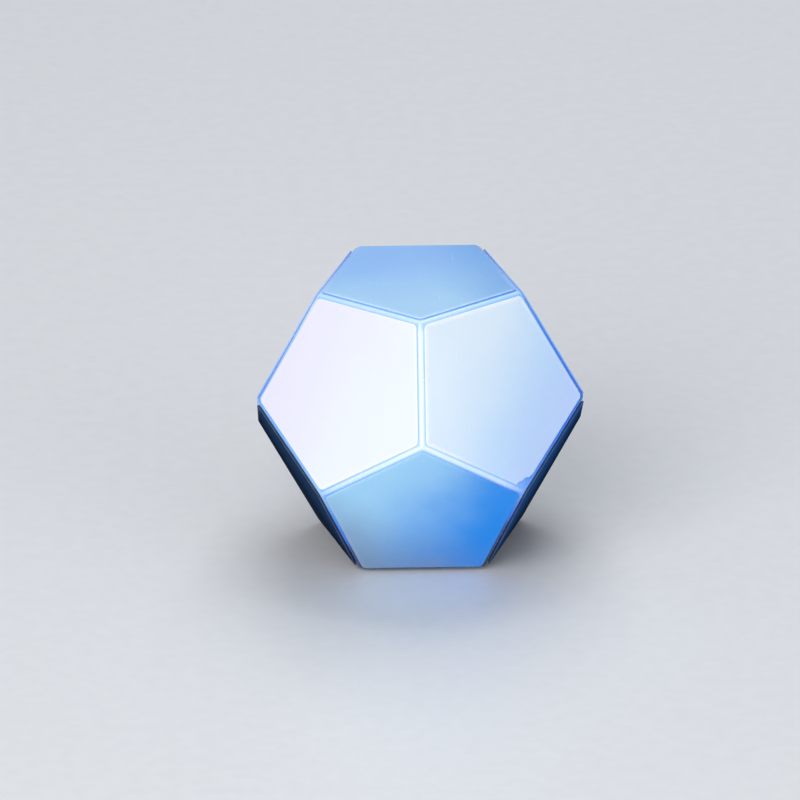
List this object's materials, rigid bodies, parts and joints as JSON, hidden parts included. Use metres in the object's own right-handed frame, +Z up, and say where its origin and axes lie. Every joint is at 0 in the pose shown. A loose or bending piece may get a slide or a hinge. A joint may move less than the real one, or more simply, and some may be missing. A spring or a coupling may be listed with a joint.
{
  "type": "dodecahedron twisty puzzle",
  "caption": "Hand-held dodecahedron puzzle whose whole pentagonal faces turn in place with magnetic clicks, to line up a white-to-blue shading over the body.",
  "frame": {"origin": "middle of the base tile's outer face, on the surface that the puzzle stands on, under the middle of the body", "axes": "+Z up through the top face; -Y to the front, where the edge between two upper faces stands towards the viewer; +X to the viewer's right"},
  "size_m": [0.077, 0.081, 0.0668],
  "materials": {
    "top_tile": "polished milky plastic, shaded from white to blue",
    "upper_front_left_tile": "polished milky plastic, shaded from white to blue",
    "upper_front_right_tile": "polished milky plastic, shaded from white to blue",
    "upper_left_tile": "polished milky plastic, shaded from white to blue",
    "upper_right_tile": "polished milky plastic, shaded from white to blue",
    "upper_back_tile": "polished milky plastic, shaded from white to blue",
    "lower_front_tile": "polished milky plastic, shaded from white to blue",
    "lower_left_tile": "polished milky plastic, shaded from white to blue",
    "lower_right_tile": "polished milky plastic, shaded from white to blue",
    "lower_back_left_tile": "polished milky plastic, shaded from white to blue",
    "lower_back_right_tile": "polished milky plastic, shaded from white to blue",
    "base_tile": "polished milky plastic, shaded from white to blue",
    "carrier": "moulded",
    "magnet": "nickel plated",
    "spring_wire": "drawn wire",
    "shell": "polished",
    "dowel": "ground",
    "core": "moulded",
    "insert": "turned",
    "screw": "zinc plated",
    "washer": "stamped",
    "thrust_washer": "acetal"
  },
  "bodies": {
    "core": {"upper_shell": "shell", "lower_shell": "shell", "shell_magnets": "magnet", "shell_dowels": "dowel", "core_hub": "core", "core_inserts": "insert", "axle_screws": "screw", "spring_caps": "washer", "thrust_washers": "thrust_washer", "top_spring": "spring_wire", "upper_front_left_spring": "spring_wire", "upper_front_right_spring": "spring_wire", "upper_left_spring": "spring_wire", "upper_right_spring": "spring_wire", "upper_back_spring": "spring_wire", "lower_front_spring": "spring_wire", "lower_left_spring": "spring_wire", "lower_right_spring": "spring_wire", "lower_back_left_spring": "spring_wire", "lower_back_right_spring": "spring_wire", "base_spring": "spring_wire"},
    "top_face": {"top_tile": "top_tile", "top_carrier": "carrier", "top_magnets": "magnet"},
    "upper_front_left_face": {"upper_front_left_tile": "upper_front_left_tile", "upper_front_left_carrier": "carrier", "upper_front_left_magnets": "magnet"},
    "upper_front_right_face": {"upper_front_right_tile": "upper_front_right_tile", "upper_front_right_carrier": "carrier", "upper_front_right_magnets": "magnet"},
    "upper_left_face": {"upper_left_tile": "upper_left_tile", "upper_left_carrier": "carrier", "upper_left_magnets": "magnet"},
    "upper_right_face": {"upper_right_tile": "upper_right_tile", "upper_right_carrier": "carrier", "upper_right_magnets": "magnet"},
    "upper_back_face": {"upper_back_tile": "upper_back_tile", "upper_back_carrier": "carrier", "upper_back_magnets": "magnet"},
    "lower_front_face": {"lower_front_tile": "lower_front_tile", "lower_front_carrier": "carrier", "lower_front_magnets": "magnet"},
    "lower_left_face": {"lower_left_tile": "lower_left_tile", "lower_left_carrier": "carrier", "lower_left_magnets": "magnet"},
    "lower_right_face": {"lower_right_tile": "lower_right_tile", "lower_right_carrier": "carrier", "lower_right_magnets": "magnet"},
    "lower_back_left_face": {"lower_back_left_tile": "lower_back_left_tile", "lower_back_left_carrier": "carrier", "lower_back_left_magnets": "magnet"},
    "lower_back_right_face": {"lower_back_right_tile": "lower_back_right_tile", "lower_back_right_carrier": "carrier", "lower_back_right_magnets": "magnet"},
    "base_face": {"base_tile": "base_tile", "base_carrier": "carrier", "base_magnets": "magnet"}
  },
  "joints": [
    {"name": "top_turn", "type": "hinge", "parent": "core", "child": "top_face", "pos_m": [0, 0, 0.06681], "axis": [0, 0, 1], "range_deg": [-144, 144]},
    {"name": "upper_front_left_turn", "type": "hinge", "parent": "core", "child": "upper_front_left_face", "pos_m": [-0.01756, -0.02417, 0.04834], "axis": [-0.5257, -0.7236, 0.4472], "range_deg": [-144, 144]},
    {"name": "upper_front_right_turn", "type": "hinge", "parent": "core", "child": "upper_front_right_face", "pos_m": [0.01756, -0.02417, 0.04834], "axis": [0.5257, -0.7236, 0.4472], "range_deg": [-144, 144]},
    {"name": "upper_left_turn", "type": "hinge", "parent": "core", "child": "upper_left_face", "pos_m": [-0.02842, 0.00923, 0.04834], "axis": [-0.8507, 0.2764, 0.4472], "range_deg": [-144, 144]},
    {"name": "upper_right_turn", "type": "hinge", "parent": "core", "child": "upper_right_face", "pos_m": [0.02842, 0.00923, 0.04834], "axis": [0.8507, 0.2764, 0.4472], "range_deg": [-144, 144]},
    {"name": "upper_back_turn", "type": "hinge", "parent": "core", "child": "upper_back_face", "pos_m": [0, 0.02988, 0.04834], "axis": [0, 0.8944, 0.4472], "range_deg": [-144, 144]},
    {"name": "lower_front_turn", "type": "hinge", "parent": "core", "child": "lower_front_face", "pos_m": [0, -0.02988, 0.01847], "axis": [0, -0.8944, -0.4472], "range_deg": [-144, 144]},
    {"name": "lower_left_turn", "type": "hinge", "parent": "core", "child": "lower_left_face", "pos_m": [-0.02842, -0.00923, 0.01847], "axis": [-0.8507, -0.2764, -0.4472], "range_deg": [-144, 144]},
    {"name": "lower_right_turn", "type": "hinge", "parent": "core", "child": "lower_right_face", "pos_m": [0.02842, -0.00923, 0.01847], "axis": [0.8507, -0.2764, -0.4472], "range_deg": [-144, 144]},
    {"name": "lower_back_left_turn", "type": "hinge", "parent": "core", "child": "lower_back_left_face", "pos_m": [-0.01756, 0.02417, 0.01847], "axis": [-0.5257, 0.7236, -0.4472], "range_deg": [-144, 144]},
    {"name": "lower_back_right_turn", "type": "hinge", "parent": "core", "child": "lower_back_right_face", "pos_m": [0.01756, 0.02417, 0.01847], "axis": [0.5257, 0.7236, -0.4472], "range_deg": [-144, 144]},
    {"name": "base_turn", "type": "hinge", "parent": "core", "child": "base_face", "pos_m": [0, 0, 0], "axis": [0, 0, -1], "range_deg": [-144, 144]}
  ]
}
